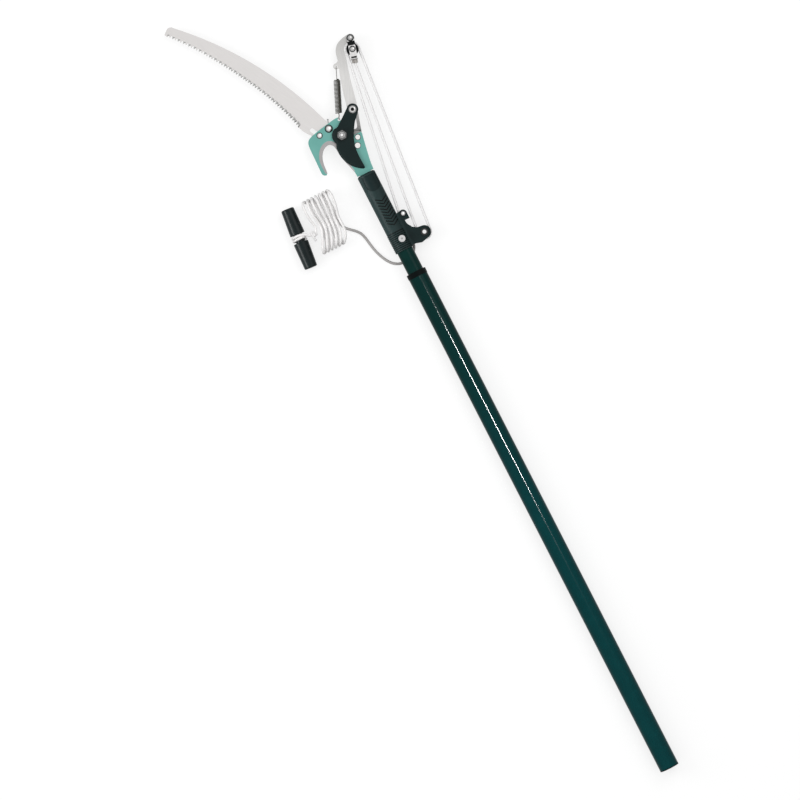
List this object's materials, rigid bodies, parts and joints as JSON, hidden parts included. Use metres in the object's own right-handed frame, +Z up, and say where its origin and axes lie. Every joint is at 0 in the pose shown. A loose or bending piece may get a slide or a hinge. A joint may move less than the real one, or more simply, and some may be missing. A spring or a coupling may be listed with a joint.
{
  "type": "tree pruner pole",
  "caption": "Telescopic pole with a rope-and-pulley bypass pruner head, a curved pruning saw, a return spring and a pull rope ending in a toggle.",
  "frame": {"origin": "middle of the tool on the surface it lies on, free rope left out", "axes": "+Y along the pole towards the head, +Z up through the cutting side, +X towards the rope tackle"},
  "size_m": [0.2529, 1.3306, 0.0354],
  "materials": {
    "tube_paint": "satin dark green paint",
    "plate_paint": "satin light green paint",
    "black_moulding": "fine matt black",
    "toggle_gloss": "polished black",
    "blade_coat": "black low-friction coat",
    "saw_steel": "satin, ground teeth",
    "lever_steel": "zinc plated",
    "zinc": "bright zinc plate",
    "black_steel": "black oxide",
    "spring_steel": "oiled spring wire",
    "cord": "braided white polyester",
    "ferrule": "dull crimped sleeve",
    "sleeve_white": "natural nylon"
  },
  "bodies": {
    "head": {"frame_plate": "plate_paint", "saw_blade": "saw_steel", "saw_bolt": "zinc", "saw_washer": "zinc", "saw_wing_nut": "zinc", "saw_rivet": "zinc", "pivot_bolt": "zinc", "pivot_washer": "black_steel", "pivot_nut": "zinc", "lever_rivet": "zinc", "stop_pin": "zinc", "handle": "black_moulding", "handle_screw": "zinc", "inner_tube": "tube_paint", "lock_spindle": "black_moulding", "sheave_bolt": "zinc", "sheave_nut": "zinc", "guide_bolt": "zinc", "rope_tail": "cord", "rope_hank": "cord", "rope_lead": "cord", "toggle_knot": "cord", "toggle_handle": "toggle_gloss"},
    "lever": {"lever_arm": "lever_steel", "block_bolt": "zinc", "block_bushes": "black_moulding"},
    "blade": {"cutting_blade": "blade_coat", "drive_bolt": "zinc"},
    "block": {"block_strap": "zinc", "block_cheeks": "black_moulding", "block_saddle": "black_moulding", "block_axle": "zinc", "becket_bar": "black_steel", "rope_ferrule": "ferrule", "rope_top_turn": "cord"},
    "top_sheave": {"top_sheave": "black_moulding"},
    "lower_sheave": {"lower_sheave": "black_moulding"},
    "guide_roller": {"guide_roller": "zinc"},
    "rope_left": {"rope_left": "cord"},
    "rope_middle": {"rope_middle": "cord", "rope_lower_turn": "cord"},
    "rope_right": {"rope_right": "cord"},
    "spring": {"return_spring": "spring_steel"},
    "spring_hook": {"spring_hook": "zinc"},
    "lock": {"lock_sleeve": "sleeve_white"},
    "pole": {"outer_tube": "tube_paint", "collar": "black_moulding", "end_plug": "black_moulding"}
  },
  "joints": [
    {"name": "lever_swing", "type": "hinge", "parent": "head", "child": "lever", "pos_m": [0.05625, 0.37875, 0.017], "axis": [0, 0, -1], "range_deg": [0, 44.87], "stiffness_Nm_per_rad": 1.2, "springref_deg": -17.19, "deforming": ["rope_left", "rope_middle", "rope_right", "rope_lower_turn", "rope_top_turn", "return_spring", "spring_hook"]},
    {"name": "blade_swing", "type": "hinge", "parent": "head", "child": "blade", "pos_m": [0.04205, 0.40275, 0.017], "axis": [0, 0, -1], "range_deg": [0, 56.01]},
    {"name": "block_swivel", "type": "hinge", "parent": "lever", "child": "block", "pos_m": [0.11955, 0.52725, 0.017], "axis": [0, 0, 1], "range_deg": [0, 22.01]},
    {"name": "top_sheave_spin", "type": "hinge", "parent": "block", "child": "top_sheave", "pos_m": [0.11495, 0.51085, 0.017], "axis": [0, 0, 1], "range_deg": [0, 716.77]},
    {"name": "lower_sheave_spin", "type": "hinge", "parent": "head", "child": "lower_sheave", "pos_m": [0.08625, 0.21775, 0.017], "axis": [0, 0, 1], "range_deg": [0, 358.33]},
    {"name": "guide_roller_spin", "type": "hinge", "parent": "head", "child": "guide_roller", "pos_m": [0.07005, 0.25675, 0.017], "axis": [0, 0, 1], "range_deg": [0, 1732.87]},
    {"name": "rope_left_turn", "type": "hinge", "parent": "head", "child": "rope_left", "pos_m": [0.07005, 0.25675, 0.017], "axis": [0, 0, -1], "range_deg": [0, 26.29]},
    {"name": "rope_middle_turn", "type": "hinge", "parent": "head", "child": "rope_middle", "pos_m": [0.08625, 0.21775, 0.017], "axis": [0, 0, -1], "range_deg": [0, 22.31]},
    {"name": "rope_right_turn", "type": "hinge", "parent": "head", "child": "rope_right", "pos_m": [0.08625, 0.21775, 0.017], "axis": [0, 0, -1], "range_deg": [0, 22.05]},
    {"name": "spring_turn", "type": "hinge", "parent": "head", "child": "spring", "pos_m": [0.04915, 0.42595, 0.017], "axis": [0, 0, -1], "range_deg": [0, 55.74]},
    {"name": "spring_draw", "type": "slide", "parent": "spring", "child": "spring_hook", "axis": [0.4031, 0.9151, 0], "range_m": [0, 0.03195]},
    {"name": "pole_twist", "type": "hinge", "parent": "head", "child": "lock", "pos_m": [0.04755, -0.56525, 0.017], "axis": [0, 1, 0], "range_deg": [0, 180]},
    {"name": "pole_extend", "type": "slide", "parent": "lock", "child": "pole", "axis": [0, -1, 0], "range_m": [0, 0.7]}
  ],
  "couplings": [
    {"joint": "blade_swing", "follows": "lever_swing", "ratio": 1.2479},
    {"joint": "block_swivel", "follows": "lever_swing", "ratio": 0.4903},
    {"joint": "top_sheave_spin", "follows": "lever_swing", "ratio": 15.974},
    {"joint": "lower_sheave_spin", "follows": "lever_swing", "ratio": 7.9856},
    {"joint": "guide_roller_spin", "follows": "lever_swing", "ratio": 38.62},
    {"joint": "rope_left_turn", "follows": "lever_swing", "ratio": 0.58551},
    {"joint": "rope_middle_turn", "follows": "lever_swing", "ratio": 0.49689},
    {"joint": "rope_right_turn", "follows": "lever_swing", "ratio": 0.49114},
    {"joint": "spring_turn", "follows": "lever_swing", "ratio": 1.2419},
    {"joint": "spring_draw", "follows": "lever_swing", "m_per_rad": 0.040546}
  ]
}
